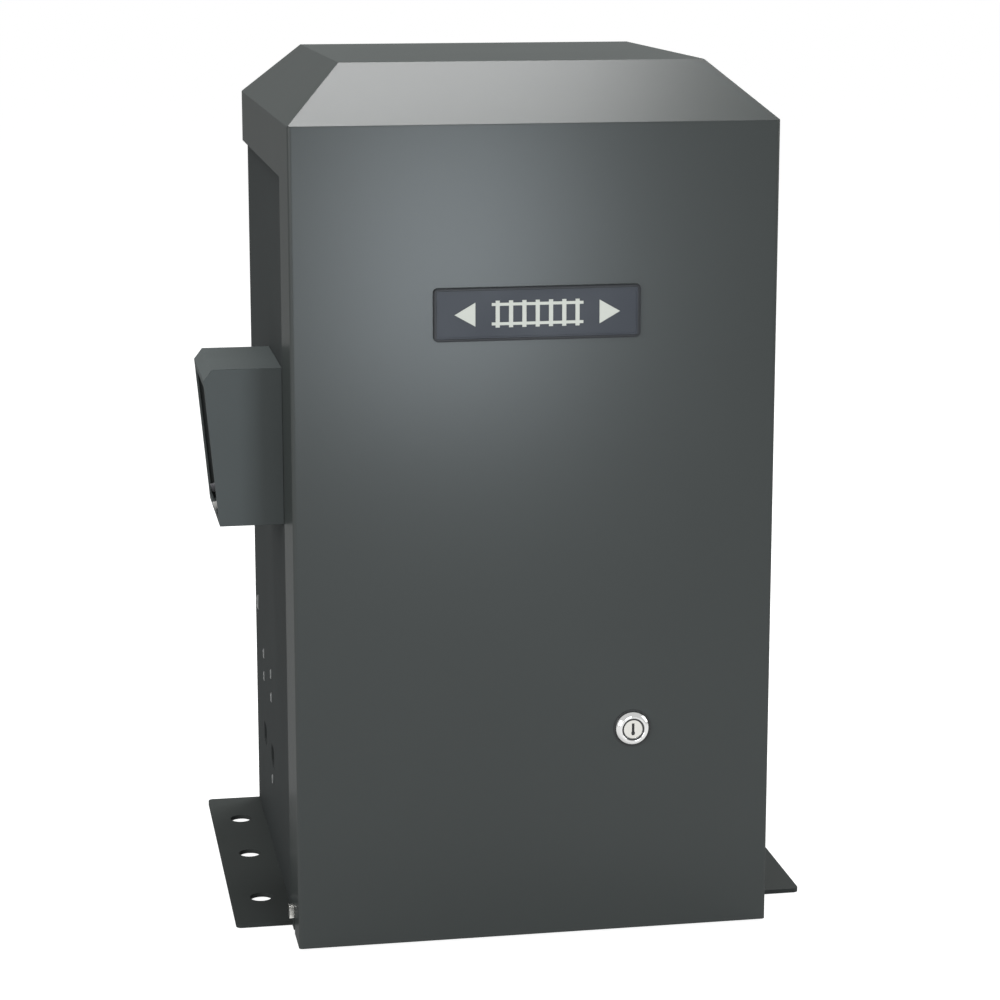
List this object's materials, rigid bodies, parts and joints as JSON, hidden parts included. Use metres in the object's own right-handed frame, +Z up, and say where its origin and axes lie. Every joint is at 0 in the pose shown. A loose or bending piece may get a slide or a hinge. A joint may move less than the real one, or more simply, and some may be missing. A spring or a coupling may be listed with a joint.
{
  "type": "sliding gate motor",
  "caption": "Chain-drive sliding gate operator: lift-off sheet-steel cover over a chassis with motor, belt, worm reducer, chain sprocket, limit switches and controls.",
  "frame": {"origin": "centre of the four corner anchor holes, on the underside of the base plate", "axes": "+Z up, the cover's front faces -Y, +X to the right of a person facing the front"},
  "size_m": [0.4208, 0.3524, 0.601],
  "materials": {
    "chassis_coat": "satin",
    "dark_powder_coat": "satin",
    "cover_coat": "satin",
    "zinc_plated_steel": "satin",
    "bright_screws": "satin",
    "name_plate_black": "gloss",
    "name_plate_silver": "satin",
    "lock_chrome": "polished",
    "lock_plug_chrome": "polished",
    "gear_case_paint": "painted",
    "bearing_steel": "ground",
    "turned_steel": "turned",
    "bronze": "machined",
    "cast_iron": "satin",
    "belt_rubber": "matte",
    "motor_paint": "satin",
    "motor_bell_aluminium": "cast",
    "black_plastic": "matte",
    "idler_nylon": "satin",
    "white_nylon": "satin",
    "spring_steel": "satin",
    "outlet_panel_coat": "satin",
    "outlet_plastic": "satin",
    "toggle_grey": "satin",
    "toggle_white": "satin",
    "board_green": "solder mask",
    "relay_blue": "gloss",
    "terminal_green": "satin",
    "contactor_plastic": "satin",
    "transformer_steel": "varnished",
    "capacitor_can": "satin"
  },
  "bodies": {
    "frame": {"base_plate": "chassis_coat", "left_side_wall": "dark_powder_coat", "right_side_wall": "dark_powder_coat", "rear_wall": "dark_powder_coat", "front_rail": "zinc_plated_steel", "cover_studs": "bright_screws", "drive_plate": "zinc_plated_steel", "gear_housing": "gear_case_paint", "gear_cover": "gear_case_paint", "bearings": "bearing_steel", "worm_caps": "gear_case_paint", "v_belt": "belt_rubber", "motor_shelf": "zinc_plated_steel", "shelf_posts": "zinc_plated_steel", "motor_stator": "motor_paint", "motor_bells": "motor_bell_aluminium", "fan_cowl": "motor_paint", "idler_bracket_left": "zinc_plated_steel", "idler_bracket_right": "zinc_plated_steel", "limit_bracket": "zinc_plated_steel", "limit_switches": "black_plastic", "outlet_box": "dark_powder_coat", "outlet_panel": "outlet_panel_coat", "outlet": "outlet_plastic", "toggle_body": "black_plastic", "control_shelf": "zinc_plated_steel", "control_board": "board_green", "board_relays": "relay_blue", "board_terminals": "terminal_green", "board_parts": "black_plastic", "contactors": "contactor_plastic", "transformer": "transformer_steel", "run_capacitor": "capacitor_can"},
    "cover": {"hood": "cover_coat", "name_plate": "name_plate_black", "name_plate_motif": "name_plate_silver", "lock_body": "lock_chrome"},
    "lock_cylinder": {"lock_plug": "lock_plug_chrome", "lock_cam": "zinc_plated_steel"},
    "motor_rotor": {"rotor_shaft": "turned_steel", "motor_pulley": "cast_iron", "cooling_fan": "black_plastic"},
    "worm": {"worm_shaft": "turned_steel", "driven_pulley": "cast_iron"},
    "output": {"output_shaft": "turned_steel", "worm_wheel": "bronze", "drive_sprocket": "turned_steel", "limit_pinion": "turned_steel"},
    "limit_drive": {"limit_screw": "turned_steel", "limit_gear": "white_nylon"},
    "nut_front": {"limit_nut_front": "white_nylon"},
    "nut_rear": {"limit_nut_rear": "white_nylon"},
    "lever_front": {"switch_lever_front": "spring_steel"},
    "lever_rear": {"switch_lever_rear": "spring_steel"},
    "idler_left": {"idler_wheel_left": "idler_nylon"},
    "idler_right": {"idler_wheel_right": "idler_nylon"},
    "toggle_up": {"toggle_upper": "toggle_grey"},
    "toggle_low": {"toggle_lower": "toggle_white"}
  },
  "joints": [
    {"name": "cover_lift", "type": "slide", "parent": "frame", "child": "cover", "axis": [0, 0, 1], "range_m": [0, 0.62]},
    {"name": "lock_turn", "type": "hinge", "parent": "cover", "child": "lock_cylinder", "pos_m": [0.0675, -0.17, 0.1465], "axis": [0, -1, 0], "range_deg": [0, 90]},
    {"name": "motor_spin", "type": "hinge", "parent": "frame", "child": "motor_rotor", "pos_m": [0, -0.012, 0.346], "axis": [1, 0, 0], "range_deg": [-115200, 115200]},
    {"name": "worm_spin", "type": "hinge", "parent": "frame", "child": "worm", "pos_m": [0, -0.012, 0.206], "axis": [1, 0, 0], "range_deg": [-57600, 57600]},
    {"name": "output_spin", "type": "hinge", "parent": "frame", "child": "output", "pos_m": [0, 0, 0.15], "axis": [0, 1, 0], "range_deg": [-2880, 2880]},
    {"name": "limit_screw_spin", "type": "hinge", "parent": "frame", "child": "limit_drive", "pos_m": [-0.045, -0.1, 0.15], "axis": [0, 1, 0], "range_deg": [-1920, 1920]},
    {"name": "limit_nut_front_slide", "type": "slide", "parent": "frame", "child": "nut_front", "axis": [0, 1, 0], "range_m": [-0.008, 0.008]},
    {"name": "limit_nut_rear_slide", "type": "slide", "parent": "frame", "child": "nut_rear", "axis": [0, 1, 0], "range_m": [-0.008, 0.008]},
    {"name": "switch_lever_front_press", "type": "hinge", "parent": "frame", "child": "lever_front", "pos_m": [-0.045, -0.1317, 0.183], "axis": [-1, 0, 0], "range_deg": [0, 8], "stiffness_Nm_per_rad": 0.005},
    {"name": "switch_lever_rear_press", "type": "hinge", "parent": "frame", "child": "lever_rear", "pos_m": [-0.045, -0.0923, 0.183], "axis": [1, 0, 0], "range_deg": [0, 8], "stiffness_Nm_per_rad": 0.005},
    {"name": "idler_left_spin", "type": "hinge", "parent": "frame", "child": "idler_left", "pos_m": [-0.118, 0.071, 0.102], "axis": [0, 1, 0], "continuous": true},
    {"name": "idler_right_spin", "type": "hinge", "parent": "frame", "child": "idler_right", "pos_m": [0.118, 0.071, 0.102], "axis": [0, 1, 0], "continuous": true},
    {"name": "toggle_upper_flip", "type": "hinge", "parent": "frame", "child": "toggle_up", "pos_m": [-0.19746, -0.085, 0.30929], "axis": [0, 1, 0], "range_deg": [0, 24]},
    {"name": "toggle_lower_flip", "type": "hinge", "parent": "frame", "child": "toggle_low", "pos_m": [-0.19629, -0.085, 0.29634], "axis": [0, 1, 0], "range_deg": [0, 24]}
  ],
  "couplings": [
    {"joint": "worm_spin", "follows": "motor_spin", "ratio": 0.5},
    {"joint": "output_spin", "follows": "motor_spin", "ratio": -0.025},
    {"joint": "limit_screw_spin", "follows": "motor_spin", "ratio": 0.016667},
    {"joint": "limit_nut_front_slide", "follows": "motor_spin", "m_per_rad": -0.0000039788},
    {"joint": "limit_nut_rear_slide", "follows": "motor_spin", "m_per_rad": -0.0000039788}
  ]
}
